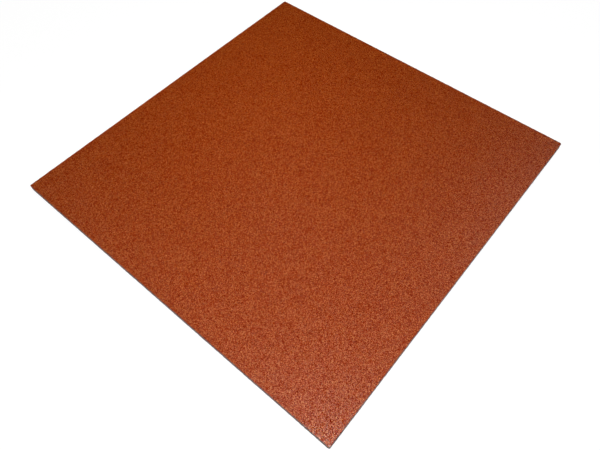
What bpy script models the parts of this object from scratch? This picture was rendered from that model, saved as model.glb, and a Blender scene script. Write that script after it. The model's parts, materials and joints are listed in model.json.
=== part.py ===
"""Rubber floor tile: one square sheet of bonded crumb rubber, cut straight on all four sides.

Metres, +Z up. The origin is the centre of the underside, so the tile lies on the floor at z = 0.
X and Y run along the sides.
"""

import math

import bpy

# The sheet
SIDE = 1.000
THICKNESS = 0.020

# The edges, as the cutter and some handling leave them
CORNER_RADIUS = 0.004
ARRIS_RADIUS = 0.0006
CORNER_SEGMENTS = 4
ARRIS_SEGMENTS = 2
ARRIS_ANGLE = math.radians(60)

# The finish: terracotta pigment in the binder, matt
TERRACOTTA = (0.33, 0.062, 0.018, 1.0)
MATT = 0.75

COLLECTION_NAME = "rubber_floor_tile"


def clear_scene():
    """Take away whatever the file opened with."""
    for thing in list(bpy.data.objects):
        bpy.data.objects.remove(thing, do_unlink=True)


def new_collection(name):
    """A collection in the scene, named for the object."""
    collection = bpy.data.collections.new(name)
    bpy.context.scene.collection.children.link(collection)
    return collection


def terracotta_rubber():
    """Crumb rubber with terracotta pigment in its binder."""
    material = bpy.data.materials.new("terracotta_rubber")
    material.use_nodes = True
    shader = material.node_tree.nodes["Principled BSDF"]
    shader.inputs["Base Color"].default_value = TERRACOTTA
    shader.inputs["Roughness"].default_value = MATT
    shader.inputs["Metallic"].default_value = 0.0
    return material


def square_slab(name):
    """A plain slab of the tile's size, its underside on z = 0."""
    bpy.ops.mesh.primitive_cube_add(size=1.0, location=(0.0, 0.0, THICKNESS / 2))
    slab = bpy.context.active_object
    slab.name = name
    slab.data.name = name
    slab.scale = (SIDE, SIDE, THICKNESS)
    bpy.ops.object.transform_apply(location=True, rotation=False, scale=True)
    return slab


def mark_upright_edges(slab):
    """Give the four upright corner edges a full bevel weight, and the other edges none."""
    mesh = slab.data
    weights = mesh.attributes.new("bevel_weight_edge", "FLOAT", "EDGE")
    for edge in mesh.edges:
        start, end = (mesh.vertices[index].co for index in edge.vertices)
        upright = abs(end.z - start.z) > THICKNESS / 2
        weights.data[edge.index].value = 1.0 if upright else 0.0


def round_corners(slab):
    """Round the corners in plan."""
    mark_upright_edges(slab)
    corners = slab.modifiers.new("corners", "BEVEL")
    corners.limit_method = "WEIGHT"
    corners.width = CORNER_RADIUS
    corners.segments = CORNER_SEGMENTS


def ease_arrises(slab):
    """Take the sharpness off the rims of the top and the underside."""
    arrises = slab.modifiers.new("arrises", "BEVEL")
    arrises.limit_method = "ANGLE"
    arrises.angle_limit = ARRIS_ANGLE
    arrises.width = ARRIS_RADIUS
    arrises.segments = ARRIS_SEGMENTS
    arrises.harden_normals = True


def floor_tile(collection):
    """The whole tile, one solid."""
    tile = square_slab("floor_tile")
    round_corners(tile)
    ease_arrises(tile)
    tile.data.shade_smooth()
    tile.data.materials.append(terracotta_rubber())
    for owner in list(tile.users_collection):
        owner.objects.unlink(tile)
    collection.objects.link(tile)
    return tile


def main():
    clear_scene()
    floor_tile(new_collection(COLLECTION_NAME))


main()
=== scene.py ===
"""The rubber floor tile, dressed: a pressed face of terracotta crumb, and rough cut sides.

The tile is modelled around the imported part, in metres, +Z up, with the underside on z = 0.
"""

import json
import math

import bpy
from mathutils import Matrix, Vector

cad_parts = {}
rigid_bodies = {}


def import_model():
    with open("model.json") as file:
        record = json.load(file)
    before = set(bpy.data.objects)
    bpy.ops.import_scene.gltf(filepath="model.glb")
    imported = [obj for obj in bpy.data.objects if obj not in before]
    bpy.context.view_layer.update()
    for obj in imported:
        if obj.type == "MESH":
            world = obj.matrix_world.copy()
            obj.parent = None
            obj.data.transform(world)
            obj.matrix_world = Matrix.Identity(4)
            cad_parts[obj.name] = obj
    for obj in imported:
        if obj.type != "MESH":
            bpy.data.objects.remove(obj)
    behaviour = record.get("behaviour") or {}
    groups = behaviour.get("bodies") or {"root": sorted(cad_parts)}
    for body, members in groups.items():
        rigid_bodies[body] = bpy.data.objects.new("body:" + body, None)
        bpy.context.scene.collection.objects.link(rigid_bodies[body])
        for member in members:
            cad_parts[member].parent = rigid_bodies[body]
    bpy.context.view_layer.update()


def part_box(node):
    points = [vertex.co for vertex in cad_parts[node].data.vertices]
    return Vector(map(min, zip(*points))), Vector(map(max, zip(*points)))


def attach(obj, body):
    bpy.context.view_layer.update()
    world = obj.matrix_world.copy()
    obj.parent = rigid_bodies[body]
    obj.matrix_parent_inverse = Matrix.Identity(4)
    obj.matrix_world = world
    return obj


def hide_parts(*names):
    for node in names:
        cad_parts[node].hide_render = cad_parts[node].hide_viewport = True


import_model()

# The sheet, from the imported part
LOW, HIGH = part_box("floor_tile")
SIDE = HIGH[0] - LOW[0]
HALF = SIDE / 2
THICKNESS = HIGH[2] - LOW[2]

# The body's mesh; points closer than TOUCHING count as in one place, and a face whose normal rises or
# falls by less than SIDE_TILT is on a cut side
FACE_CELLS = 240
ARRIS = 0.0008
CORNER_RADIUS = 0.004
CORNER_SEGMENTS = 3
SMOOTH_ANGLE = math.radians(40)
TOUCHING = 0.0001
SIDE_TILT = 0.3

# The rings below the face: how far each stands in from the cut side, and its height
RINGS = (
    (0.0003, THICKNESS - 0.0003),
    (0.0, THICKNESS - 0.0010),
    (0.0, THICKNESS * 0.77),
    (0.0, THICKNESS * 0.59),
    (0.0, THICKNESS * 0.41),
    (0.0, THICKNESS * 0.23),
    (0.0, 0.0008),
    (0.0005, 0.0),
)

# The points that are roughened: the field keeps clear of the rim, the face reaches down to the first
# ring, and the cut sides run from the last ring but one up to the first
FIELD_MARGIN = 0.006
FACE_BOTTOM = THICKNESS - 0.0004
SIDES_BOTTOM = 0.0004
SIDES_TOP = THICKNESS - 0.0002

# The lumps of crumb: which points they push, which way, how far to either side, and a lump's size
LUMPS = (
    ("field", "X", 0.0018, 0.0031),
    ("field", "Y", 0.0018, 0.0037),
    ("face", "Z", 0.00035, 0.0034),
    ("sides", "NORMAL", 0.00045, 0.0033),
)

# A strewn granule: its width and flatness, how far its points stray as a share of its width, how long
# the first kind is and how much longer each next one, and how far a granule tips, in radians
CHIP_WIDTH = 0.0025
CHIP_FLATNESS = 0.34
CHIP_RAGGED = 0.22
CHIP_KINDS = 5
CHIP_LENGTH = 1.05
CHIP_LENGTH_STEP = 0.08
CHIP_TUMBLE = 0.22

# How the granules are strewn: their spacing, their least and largest scale, and the seed of their
# places. Proud ones lie where the face points up, torn ones where the side's normal rises by less than
# half its length, and above the arris of the underside. A quarter is given by the signs of X and Y.
STREW_DENSITY = 200000.0
FACE_SPACING = 0.0040
FACE_SCALES = (0.55, 1.2)
FACE_SEED = 5
FACE_RISE = 0.85
SIDE_SPACING = 0.0028
SIDE_SCALES = (0.5, 1.0)
SIDE_SEED = 11
SIDE_RISE_SQUARED = 0.25
SIDE_FOOT = 0.0016
QUARTERS = ((-1, -1), (1, -1), (1, 1), (-1, 1))

# Nibs of crumb that the cut has left hanging on the two near sides: place along the side, and length.
# Each is flattened outwards and in height.
LEFT_NIBS = ((0.211, 0.0040), (0.319, 0.0034), (0.435, 0.0030))
RIGHT_NIBS = ((-0.041, 0.0024), (-0.080, 0.0021))
LEFT_NIB_SHAPE = (0.75, 1.0, 0.7)
RIGHT_NIB_SHAPE = (1.0, 0.75, 0.7)
LEFT_NIB_SEED = 21
RIGHT_NIB_SEED = 26
NIB_RAGGED = 0.12
NIB_HEIGHT = THICKNESS * 0.62

# The picture's lens and place, solved from the tile's four edges; the picture is a crop, so its axis
# lies a little right of the middle
PICTURE_WIDTH = 600
FOCAL_PIXELS = 529.6
AXIS_RIGHT_PIXELS = 15.2
SENSOR = 36.0
CAMERA_PLACE = (-0.6551, -0.6095, 1.1139)
CAMERA_TURN = (32.647, 0.656, -50.267)

# The floor, which glows near-white, and the surroundings as the camera sees them
FLOOR_SIZE = 12.0
FLOOR_GAP = 0.0003
FLOOR_GREY = (0.07, 0.07, 0.07, 1.0)
FLOOR_ROUGHNESS = 0.9
FLOOR_GLOW = 0.94
WHITE = (1.0, 1.0, 1.0, 1.0)
SURROUNDINGS = 0.95

# The panels of light: name, place, size, watts, turn in degrees, and whether it only shines in the
# tile or only lights it
BESIDE_CAMERA = (-0.75, -0.70, 1.21)
PANELS = (
    ("overhead", (0.0, 0.0, 2.6), (3.0, 3.0), 65.0, 0.0, False),
    ("over_tile", (0.12, 0.22, 0.646), (0.625, 0.10), 1.24, 45.0, False),
    ("beside_camera", BESIDE_CAMERA, (0.3, 0.3), 14.1, 45.0, False),
    ("shine", BESIDE_CAMERA, (0.3, 0.3), 46.0, 45.0, True),
    ("right_shine", (1.10, -0.62, 1.20), (1.2, 0.3), 6.8, 0.0, True),
    ("left_shine", (-0.60, 0.87, 1.20), (0.3, 1.2), 3.6, 0.0, True),
)

# The crumb in the materials: a usual granule, the fines between the granules, and how far the pattern
# wanders, over what size
GRANULE = 0.0016
FINES = 0.0007
FACE_WANDER = (0.0012, 0.0035)
SIDE_WANDER = (0.0010, 0.0030)
CHIP_WANDER = (0.0006, 0.0020)

# A granule's top is crowned over this depth in from its rim, in granules; the crowns are in metres
CROWN_DEPTH = 0.2
FACE_CROWN = 0.00025
SIDE_CROWN = 0.0003
FINES_CROWN = 0.00006

# How strongly the tops of the granules and of the fines lean
FACE_LEAN = 0.75
FACE_FINES_LEAN = 0.4
SIDE_LEAN = 0.4
SIDE_FINES_LEAN = 0.3
CHIP_FINES_LEAN = 0.35

# Terracotta binder over the crumb, from its darkest to its palest granules, with the glossy film that
# lies on the paler shades
TERRACOTTA = (
    (0.0, (0.162, 0.0028, 0.0001, 1.0)),
    (0.45, (0.320, 0.0275, 0.0003, 1.0)),
    (0.75, (0.448, 0.0800, 0.0030, 1.0)),
    (1.0, (0.620, 0.1850, 0.0240, 1.0)),
)
TERRACOTTA_ROUGHNESS = 0.24
TERRACOTTA_UNEVENNESS = 0.14
RUBBER_GLOSS = 0.05
FILM_SHADES = (0.30, 0.95)
FILM_ROUGHNESS = 0.42

# The face's shade: what a granule, its difference from its neighbour and the fines each add to it
GRANULE_SHADE = 0.70
FACET_SHADE = 0.55
FINES_SHADE = 0.5
SHADE_LOSS = 0.10

# The pits of the face: gaps between the granules, and the holes that a few lost granules leave. Their dark
# brown is painted shade, and the holes are also sunk in the bump.
PIT_SHADE_BROWN = (0.110, 0.0050, 0.0001, 1.0)
GAP_WIDTH = 0.12
GAP_SHADE = 0.6
LOST_GRANULES = (0.90, 0.96)
HOLE_RIM = 0.10
HOLE_SHADE = 0.7
HOLE_DEPTH = 0.0004

# The cut sides: black rubber, greyed where it is torn, and the binder's red between the granules
CUT_RUBBER = (
    (0.0, (0.040, 0.037, 0.034, 1.0)),
    (0.6, (0.105, 0.096, 0.088, 1.0)),
    (1.0, (0.210, 0.185, 0.165, 1.0)),
)
BINDER = (0.170, 0.0500, 0.0200, 1.0)
BINDER_DEPTHS = (0.09, 0.03)
SIDE_SHADE = 0.6
SIDE_FINES_SHADE = 0.4
SIDE_ROUGHNESS = 0.65
TORN_ROUGHNESS = 0.60
CUT_UNEVENNESS = 0.2
COATED_CHIPS = (0.62, 0.75)

# A strewn granule's shade comes mostly from its own number, and for the rest from its fines
CHIP_SHADE = 0.7
CHIP_FINES_SHADE = 0.3


class Wire:
    """A socket in a tree of nodes. Arithmetic on it adds Math nodes."""

    def __init__(self, tree, socket=None):
        self.tree = tree
        self.socket = socket

    def node(self, kind, feeds, output=0, stops=(), **settings):
        """Any node: its settings and ramp stops first, then the values or wires of its sockets."""
        new = self.tree.nodes.new(kind)
        for name, value in settings.items():
            setattr(new, name, value)
        for place, colour in stops[2:]:
            new.color_ramp.elements.new(place)
        for element, (place, colour) in zip(new.color_ramp.elements if stops else (), stops):
            element.position = place
            element.color = colour
        for name, value in feeds.items():
            if isinstance(value, Wire):
                self.tree.links.new(value.socket, new.inputs[name])
            else:
                new.inputs[name].default_value = value
        return None if output is None else Wire(self.tree, new.outputs[output])

    def sibling(self, output):
        """Another output of the node that this socket belongs to."""
        return Wire(self.tree, self.socket.node.outputs[output])

    def maths(self, operation, first, second):
        return self.node("ShaderNodeMath", {0: first, 1: second}, operation=operation)

    def __add__(self, other):
        return self.maths("ADD", self, other)

    def __radd__(self, other):
        return self.maths("ADD", other, self)

    def __sub__(self, other):
        return self.maths("SUBTRACT", self, other)

    def __rsub__(self, other):
        return self.maths("SUBTRACT", other, self)

    def __mul__(self, other):
        return self.maths("MULTIPLY", self, other)

    def __rmul__(self, other):
        return self.maths("MULTIPLY", other, self)

    def __gt__(self, other):
        return self.maths("GREATER_THAN", self, other)

    def __lt__(self, other):
        return self.maths("LESS_THAN", self, other)

    def larger(self, other):
        """The larger of the two numbers."""
        return self.maths("MAXIMUM", self, other)

    def step(self, low, high):
        """Nought below low, one above high and smooth between; falling where low is the larger."""
        feeds = {"Value": self, "From Min": low, "From Max": high}
        return self.node("ShaderNodeMapRange", feeds, interpolation_type="SMOOTHSTEP")

    def ramp(self, stops):
        """A colour that runs through the stops, each a place from 0 to 1 and a colour."""
        return self.node("ShaderNodeValToRGB", {0: self}, stops=stops)

    def colour(self, nought, one):
        """A colour that turns from nought to one as this number does."""
        return self.node("ShaderNodeMix", {0: self, 6: nought, 7: one}, output=2, data_type="RGBA")

    def part(self, which):
        """One number of a vector or colour: X, Y or Z."""
        return self.node("ShaderNodeSeparateXYZ", {0: self}, output=which)


def new_material(name):
    """A material with a plain Principled BSDF."""
    material = bpy.data.materials.new(name)
    material.use_nodes = True
    return material


def finish_material(material, **sockets):
    """Feed the Principled BSDF's sockets, each named in words with underscores."""
    tree = material.node_tree
    shader = tree.nodes["Principled BSDF"]
    for name, value in sockets.items():
        socket = shader.inputs[name.replace("_", " ")]
        if isinstance(value, Wire):
            tree.links.new(value.socket, socket)
        else:
            socket.default_value = value
    return material


def bumpy(height):
    """A normal from a height in metres."""
    feeds = {"Height": height, "Strength": 1.0, "Distance": 1.0}
    return height.node("ShaderNodeBump", feeds, output="Normal")


def object_place(material, wander, size):
    """Object coordinates, pushed by up to wander metres over size metres, to bend the granules' sides."""
    start = Wire(material.node_tree)
    place = start.node("ShaderNodeTexCoord", {}, output="Object")
    feeds = {"Vector": place, "Scale": 1 / size, "Detail": 2.0}
    noise = start.node("ShaderNodeTexNoise", feeds, output="Color")
    feeds = {0: noise, 1: (wander, wander, wander), 2: place}
    return start.node("ShaderNodeVectorMath", feeds, operation="MULTIPLY_ADD")


def crumb(place, size, feature, output):
    """One reading of a pattern of granules of that size."""
    feeds = {"Vector": place, "Scale": 1 / size, "Randomness": 1.0}
    return place.node("ShaderNodeTexVoronoi", feeds, output=output, feature=feature)


def depth_in(place, size):
    """The depth in from the granule's rim, in granules."""
    return crumb(place, size, "DISTANCE_TO_EDGE", "Distance")


def own_numbers(place, size):
    """Three random numbers of the granule itself."""
    return crumb(place, size, "F1", "Color")


def lean(place, own):
    """The height of a top that leans about the granule's middle, in the way its own numbers say."""
    middle = own.sibling("Position")
    reach = place.node("ShaderNodeVectorMath", {0: place, 1: middle}, operation="SUBTRACT")
    way = place.node("ShaderNodeVectorMath", {0: own, 1: (0.5, 0.5, 0.5)}, operation="SUBTRACT")
    return place.node("ShaderNodeVectorMath", {0: reach, 1: way}, output="Value", operation="DOT_PRODUCT")


def shade_of_chip(place):
    """The number from 0 to 1 that each strewn granule carries."""
    return place.node("ShaderNodeAttribute", {}, output="Fac", attribute_name="shade")


def coated_crumb(material, base, shade, own, height):
    """Crumb in terracotta binder, whose film is thickest on the pale granules and leaves the dark bare."""
    return finish_material(
        material,
        Base_Color=base,
        Roughness=TERRACOTTA_ROUGHNESS + own.part("Y") * TERRACOTTA_UNEVENNESS,
        Normal=bumpy(height),
        Specular_IOR_Level=RUBBER_GLOSS,
        Coat_Weight=shade.step(*FILM_SHADES),
        Coat_Roughness=FILM_ROUGHNESS,
    )


def terracotta_face():
    """The pressed face: crumb coated in terracotta binder, with painted shade darkening the pits between the
    granules.
    """
    material = new_material("terracotta_face")
    place = object_place(material, *FACE_WANDER)
    depth = depth_in(place, GRANULE)
    own = own_numbers(place, GRANULE)
    beside = crumb(place, GRANULE, "F2", "Color")
    fine = own_numbers(place, FINES)

    facet = (own.part("Y") - beside.part("Y")) * FACET_SHADE
    shade = own.part("X") * GRANULE_SHADE + facet + fine.part("X") * FINES_SHADE - SHADE_LOSS
    # Painted shade: the gaps between the granules and the holes are darkened towards the pit brown.
    gap = depth.step(GAP_WIDTH, 0.0)
    hole = own.part("Z").step(*LOST_GRANULES) * depth.step(0.0, HOLE_RIM)
    painted_pit_shade = (gap * GAP_SHADE).larger(hole * HOLE_SHADE)

    crown = depth.step(0.0, CROWN_DEPTH) * FACE_CROWN
    height = lean(place, own) * FACE_LEAN + crown - hole * HOLE_DEPTH + lean(place, fine) * FACE_FINES_LEAN
    return coated_crumb(material, painted_pit_shade.colour(shade.ramp(TERRACOTTA), PIT_SHADE_BROWN), shade, own, height)


def terracotta_granule():
    """A granule that stands proud of the face: its own shade of binder, over fine grain."""
    material = new_material("terracotta_granule")
    place = object_place(material, *CHIP_WANDER)
    fine = own_numbers(place, FINES)
    shade = shade_of_chip(place) * CHIP_SHADE + fine.part("X") * CHIP_FINES_SHADE
    crown = depth_in(place, FINES).step(0.0, CROWN_DEPTH) * FINES_CROWN
    height = lean(place, fine) * CHIP_FINES_LEAN + crown
    return coated_crumb(material, shade.ramp(TERRACOTTA), shade, fine, height)


def cut_side():
    """The cut sides: black rubber shows inside the cut granules, with terracotta binder between them."""
    material = new_material("cut_side")
    place = object_place(material, *SIDE_WANDER)
    depth = depth_in(place, GRANULE)
    own = own_numbers(place, GRANULE)
    fine = own_numbers(place, FINES)
    shade = own.part("X") * SIDE_SHADE + fine.part("Y") * SIDE_FINES_SHADE
    crown = depth.step(0.0, CROWN_DEPTH) * SIDE_CROWN
    height = lean(place, own) * SIDE_LEAN + crown + lean(place, fine) * SIDE_FINES_LEAN
    return finish_material(
        material,
        Base_Color=depth.step(*BINDER_DEPTHS).colour(shade.ramp(CUT_RUBBER), BINDER),
        Roughness=SIDE_ROUGHNESS + own.part("Y") * CUT_UNEVENNESS,
        Normal=bumpy(height),
    )


def cut_granule():
    """A granule torn by the cut: mostly black rubber, with binder left on some."""
    material = new_material("cut_granule")
    place = object_place(material, *CHIP_WANDER)
    fine = own_numbers(place, FINES)
    own = shade_of_chip(place)
    shade = own * CHIP_SHADE + fine.part("X") * CHIP_FINES_SHADE
    coated = (own * 0.5 + fine.part("Z") * 0.5).step(*COATED_CHIPS)
    return finish_material(
        material,
        Base_Color=coated.colour(shade.ramp(CUT_RUBBER), BINDER),
        Roughness=TORN_ROUGHNESS + fine.part("Y") * CUT_UNEVENNESS,
        Normal=bumpy(lean(place, fine) * CHIP_FINES_LEAN),
    )


def dress(piece):
    """Every piece is bonded into the one sheet."""
    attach(piece, "root")


def nothing_selected():
    bpy.ops.object.select_all(action="DESELECT")


def edit_all():
    """Edit the active piece with all of it selected."""
    bpy.ops.object.mode_set(mode="EDIT")
    bpy.ops.mesh.select_all(action="SELECT")


def select_vertices(thing, wanted):
    """Edit the thing with only the vertices selected whose place answers wanted."""
    bpy.ops.object.mode_set(mode="EDIT")
    bpy.ops.mesh.select_mode(type="VERT")
    bpy.ops.mesh.select_all(action="DESELECT")
    bpy.ops.object.mode_set(mode="OBJECT")
    for vertex in thing.data.vertices:
        vertex.select = wanted(vertex.co)
    bpy.ops.object.mode_set(mode="EDIT")


def face_grid():
    """The walked-on face as a fine grid, set in by the arris, its corners rounded."""
    bpy.ops.mesh.primitive_grid_add(
        x_subdivisions=FACE_CELLS,
        y_subdivisions=FACE_CELLS,
        size=SIDE - 2 * ARRIS,
        calc_uvs=False,
        location=(0.0, 0.0, THICKNESS),
    )
    body = bpy.context.active_object
    body.name = "tile_body"
    bpy.ops.object.transform_apply(location=True, rotation=False, scale=False)
    corner = HALF - ARRIS - TOUCHING
    select_vertices(body, lambda place: abs(place.x) > corner and abs(place.y) > corner)
    bpy.ops.mesh.bevel(offset=CORNER_RADIUS, segments=CORNER_SEGMENTS, affect="VERTICES")
    bpy.ops.object.mode_set(mode="OBJECT")
    return body


def spread(outset, half):
    """Grow the selection outwards from the tile's axis by outset, where it now reaches half."""
    factor = (half + outset) / half
    bpy.ops.transform.resize(value=(factor, factor, 1.0), center_override=(0.0, 0.0, 0.0))


def drop_sides():
    """Extrude the face's rim down the cut sides, ring by ring, and close the underside."""
    bpy.ops.object.mode_set(mode="EDIT")
    bpy.ops.mesh.select_mode(type="EDGE")
    bpy.ops.mesh.select_all(action="SELECT")
    bpy.ops.mesh.region_to_loop()
    inset, height = ARRIS, THICKNESS
    for next_inset, next_height in RINGS:
        down = {"value": (0.0, 0.0, next_height - height)}
        bpy.ops.mesh.extrude_region_move(TRANSFORM_OT_translate=down)
        spread(inset - next_inset, HALF - inset)
        inset, height = next_inset, next_height
    bpy.ops.mesh.edge_face_add()
    bpy.ops.mesh.select_all(action="SELECT")
    bpy.ops.mesh.normals_make_consistent(inside=False)
    bpy.ops.object.mode_set(mode="OBJECT")


def group_points(body, name, wanted):
    """A vertex group of the points whose place answers wanted."""
    chosen = [vertex.index for vertex in body.data.vertices if wanted(vertex.co)]
    body.vertex_groups.new(name=name).add(chosen, 1.0, "REPLACE")


def push(body, group, direction, reach, lump):
    """Push the group's points either way along the direction by up to reach, in lumps of that size."""
    texture = bpy.data.textures.new("lumps", "CLOUDS")
    texture.noise_scale = lump
    texture.noise_depth = 0
    shift = body.modifiers.new("push", "DISPLACE")
    shift.texture = texture
    shift.texture_coords = "LOCAL"
    shift.vertex_group = group
    shift.direction = direction
    shift.strength = 2 * reach
    bpy.ops.object.modifier_apply(modifier=shift.name)


def roughen(body):
    """Lumps of crumb on the face, and a torn surface on the cut sides."""
    inner = HALF - FIELD_MARGIN
    top = THICKNESS - TOUCHING
    group_points(body, "field", lambda p: p.z > top and abs(p.x) < inner and abs(p.y) < inner)
    group_points(body, "face", lambda p: p.z > FACE_BOTTOM)
    group_points(body, "sides", lambda p: SIDES_BOTTOM < p.z < SIDES_TOP)
    for group, direction, reach, lump in LUMPS:
        push(body, group, direction, reach, lump)
    bpy.ops.object.vertex_group_remove(all=True)


def tile_body(sides):
    """The sheet itself, with its cut sides in the given material."""
    nothing_selected()
    body = face_grid()
    drop_sides()
    body.data.materials.append(terracotta_face())
    body.data.materials.append(sides)
    for face in body.data.polygons:
        face.material_index = 1 if abs(face.normal.z) < SIDE_TILT else 0
    roughen(body)
    bpy.ops.object.shade_smooth_by_angle(angle=SMOOTH_ANGLE)
    dress(body)
    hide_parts("floor_tile")
    return body


def chip(kind):
    """One granule: an irregular flat chip of twenty faces, its middle on the origin."""
    nothing_selected()
    bpy.ops.mesh.primitive_ico_sphere_add(subdivisions=1, radius=CHIP_WIDTH / 2, calc_uvs=False)
    shape = bpy.context.active_object
    edit_all()
    bpy.ops.transform.vertex_random(offset=CHIP_WIDTH * CHIP_RAGGED, uniform=1.0, normal=0.0, seed=kind + 1)
    longer = CHIP_LENGTH + CHIP_LENGTH_STEP * kind
    bpy.ops.transform.resize(value=(longer, 1 / longer, CHIP_FLATNESS))
    bpy.ops.object.mode_set(mode="OBJECT")
    return shape


def chip_shapes():
    """The kinds of granule, in a collection that the strewing picks from."""
    shapes = bpy.data.collections.new("chip_shapes")
    bpy.context.scene.collection.children.link(shapes)
    for kind in range(CHIP_KINDS):
        shape = chip(kind)
        for owner in list(shape.users_collection):
            owner.objects.unlink(shape)
        shapes.objects.link(shape)
    return shapes


def clear_away(shapes):
    """Take the collection away, with the granules that were strewn from it."""
    for shape in list(shapes.objects):
        bpy.data.objects.remove(shape)
    bpy.data.collections.remove(shapes)


def in_order(start, body, position):
    """The body's mesh with its faces in order of place, so that the granules fall the same each time."""
    ground = start.node("GeometryNodeObjectInfo", {"Object": body, "As Instance": False}, output="Geometry")
    for axis in "ZYX":
        feeds = {"Geometry": ground, "Sort Weight": position.part(axis)}
        ground = start.node("GeometryNodeSortElements", feeds, domain="FACE")
    return ground


def strewing(name, body, shapes, spacing, where, material, seed, scales):
    """The nodes that strew granules over the body, where the position and normal answer."""
    tree = bpy.data.node_groups.new(name, "GeometryNodeTree")
    tree.interface.new_socket("Geometry", in_out="OUTPUT", socket_type="NodeSocketGeometry")
    start = Wire(tree)
    normal = start.node("GeometryNodeInputNormal", {})
    position = start.node("GeometryNodeInputPosition", {})
    faces, kept = where(position, normal)
    feeds = {
        "Mesh": in_order(start, body, position),
        "Selection": faces,
        "Distance Min": spacing,
        "Density Max": STREW_DENSITY,
        "Seed": seed,
    }
    points = start.node("GeometryNodeDistributePointsOnFaces", feeds, distribute_method="POISSON")
    shade = start.node("FunctionNodeRandomValue", {"Seed": seed + 1}, output=1, data_type="FLOAT")
    feeds = {"Geometry": points, "Name": "shade", "Value": shade}
    shaded = start.node("GeometryNodeStoreNamedAttribute", feeds, data_type="FLOAT", domain="POINT")
    feeds = {
        "Min": (-CHIP_TUMBLE, -CHIP_TUMBLE, 0.0),
        "Max": (CHIP_TUMBLE, CHIP_TUMBLE, math.tau),
        "Seed": seed + 2,
    }
    tumble = start.node("FunctionNodeRandomValue", feeds, data_type="FLOAT_VECTOR")
    feeds = {"Rotation": points.sibling("Rotation"), "Rotate By": tumble}
    turn = start.node("FunctionNodeRotateRotation", feeds, rotation_space="LOCAL")
    least, largest = scales
    feeds = {"Min": (least, least, least), "Max": (largest, largest, largest), "Seed": seed + 3}
    scale = start.node("FunctionNodeRandomValue", feeds, data_type="FLOAT_VECTOR")
    feeds = {"Collection": shapes, "Separate Children": True, "Reset Children": True}
    kinds = start.node("GeometryNodeCollectionInfo", feeds)
    feeds = {
        "Points": shaded,
        "Selection": kept,
        "Instance": kinds,
        "Pick Instance": True,
        "Rotation": turn,
        "Scale": scale,
    }
    placed = start.node("GeometryNodeInstanceOnPoints", feeds)
    real = start.node("GeometryNodeRealizeInstances", {"Geometry": placed})
    coated = start.node("GeometryNodeSetMaterial", {"Geometry": real, "Material": material})
    start.node("NodeGroupOutput", {"Geometry": coated}, output=None)
    return tree


def strew(name, tree):
    """A piece of the granules that the nodes strew."""
    nothing_selected()
    bpy.ops.mesh.primitive_plane_add(size=SIDE, calc_uvs=False)
    piece = bpy.context.active_object
    piece.name = name
    piece.modifiers.new("strew", "NODES").node_group = tree
    bpy.ops.object.modifier_apply(modifier="strew")
    bpy.ops.object.material_slot_remove_unused()
    dress(piece)


def proud_granules(body, shapes):
    """The granules that stand proud of the face, in four quarters."""
    material = terracotta_granule()
    for number, (side_x, side_y) in enumerate(QUARTERS, 1):
        def where(position, normal):
            along = position.part("X") * side_x > 0.0
            across = position.part("Y") * side_y > 0.0
            return normal.part("Z") > FACE_RISE, along * across
        name = f"face_granules_{number}"
        strew(name, strewing(name, body, shapes, FACE_SPACING, where, material, FACE_SEED, FACE_SCALES))


def torn_granules(body, shapes):
    """The granules that the cut has torn, on all four sides."""
    def where(position, normal):
        return normal.part("Z") * normal.part("Z") < SIDE_RISE_SQUARED, position.part("Z") > SIDE_FOOT
    name = "side_granules"
    strew(name, strewing(name, body, shapes, SIDE_SPACING, where, cut_granule(), SIDE_SEED, SIDE_SCALES))


def nib(x, y, length, shape, seed):
    """One ragged nib of crumb, of that length along the side."""
    nothing_selected()
    middle = (x, y, NIB_HEIGHT)
    bpy.ops.mesh.primitive_ico_sphere_add(subdivisions=2, radius=length / 2, calc_uvs=False, location=middle)
    piece = bpy.context.active_object
    edit_all()
    bpy.ops.transform.vertex_random(offset=length * NIB_RAGGED, uniform=1.0, normal=0.0, seed=seed)
    bpy.ops.transform.resize(value=shape, center_override=middle)
    bpy.ops.object.mode_set(mode="OBJECT")
    return piece


def edge_nibs(material):
    """The nibs that show past the outline of the two near sides."""
    nibs = []
    for seed, (along, length) in enumerate(LEFT_NIBS, LEFT_NIB_SEED):
        nibs.append(nib(-HALF, along, length, LEFT_NIB_SHAPE, seed))
    for seed, (along, length) in enumerate(RIGHT_NIBS, RIGHT_NIB_SEED):
        nibs.append(nib(along, -HALF, length, RIGHT_NIB_SHAPE, seed))
    nothing_selected()
    for shape in nibs:
        shape.select_set(True)
    bpy.ops.object.join()
    piece = bpy.context.active_object
    piece.name = "edge_nibs"
    bpy.ops.object.transform_apply(location=True, rotation=False, scale=False)
    piece.data.materials.append(material)
    dress(piece)


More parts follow.
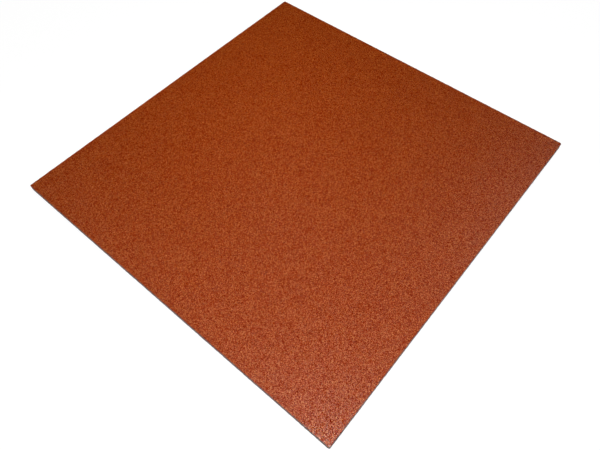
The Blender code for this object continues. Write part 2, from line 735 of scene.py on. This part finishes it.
def pale_floor():
    """A plain near-white floor, just under the tile."""
    nothing_selected()
    bpy.ops.mesh.primitive_plane_add(size=FLOOR_SIZE, location=(0.0, 0.0, -FLOOR_GAP))
    floor = bpy.context.active_object
    floor.name = "pale_floor"
    material = finish_material(
        new_material("pale_floor"),
        Base_Color=FLOOR_GREY,
        Roughness=FLOOR_ROUGHNESS,
        Emission_Color=WHITE,
        Emission_Strength=FLOOR_GLOW,
    )
    floor.data.materials.append(material)


def soft_panel(name, place, size, watts, turn, shines):
    """A flat light that faces straight down. It only shines in what is below it, or else only lights it."""
    data = bpy.data.lights.new(name, "AREA")
    data.shape = "RECTANGLE"
    data.size, data.size_y = size
    data.energy = watts
    light = bpy.data.objects.new(name, data)
    light.location = place
    light.rotation_euler = (0.0, 0.0, math.radians(turn))
    light.visible_camera = False
    light.visible_diffuse = not shines
    light.visible_glossy = shines
    bpy.context.scene.collection.objects.link(light)


def studio_light():
    """The panels, in surroundings that only the camera sees."""
    world = bpy.data.worlds.new("soft_white")
    world.use_nodes = True
    background = world.node_tree.nodes["Background"]
    background.inputs["Color"].default_value = WHITE
    background.inputs["Strength"].default_value = SURROUNDINGS
    world.cycles_visibility.diffuse = False
    world.cycles_visibility.glossy = False
    bpy.context.scene.world = world
    for panel in PANELS:
        soft_panel(*panel)


def picture_camera():
    """The photograph's view."""
    data = bpy.data.cameras.new("picture_camera")
    data.sensor_width = SENSOR
    data.lens = SENSOR * FOCAL_PIXELS / PICTURE_WIDTH
    data.shift_x = -AXIS_RIGHT_PIXELS / PICTURE_WIDTH
    camera = bpy.data.objects.new("picture_camera", data)
    camera.location = CAMERA_PLACE
    camera.rotation_euler = [math.radians(angle) for angle in CAMERA_TURN]
    bpy.context.scene.collection.objects.link(camera)
    bpy.context.scene.camera = camera


picture_camera()
sides = cut_side()
body = tile_body(sides)
shapes = chip_shapes()
proud_granules(body, shapes)
torn_granules(body, shapes)
edge_nibs(sides)
clear_away(shapes)
pale_floor()
studio_light()
bpy.context.scene.view_settings.view_transform = "Standard"
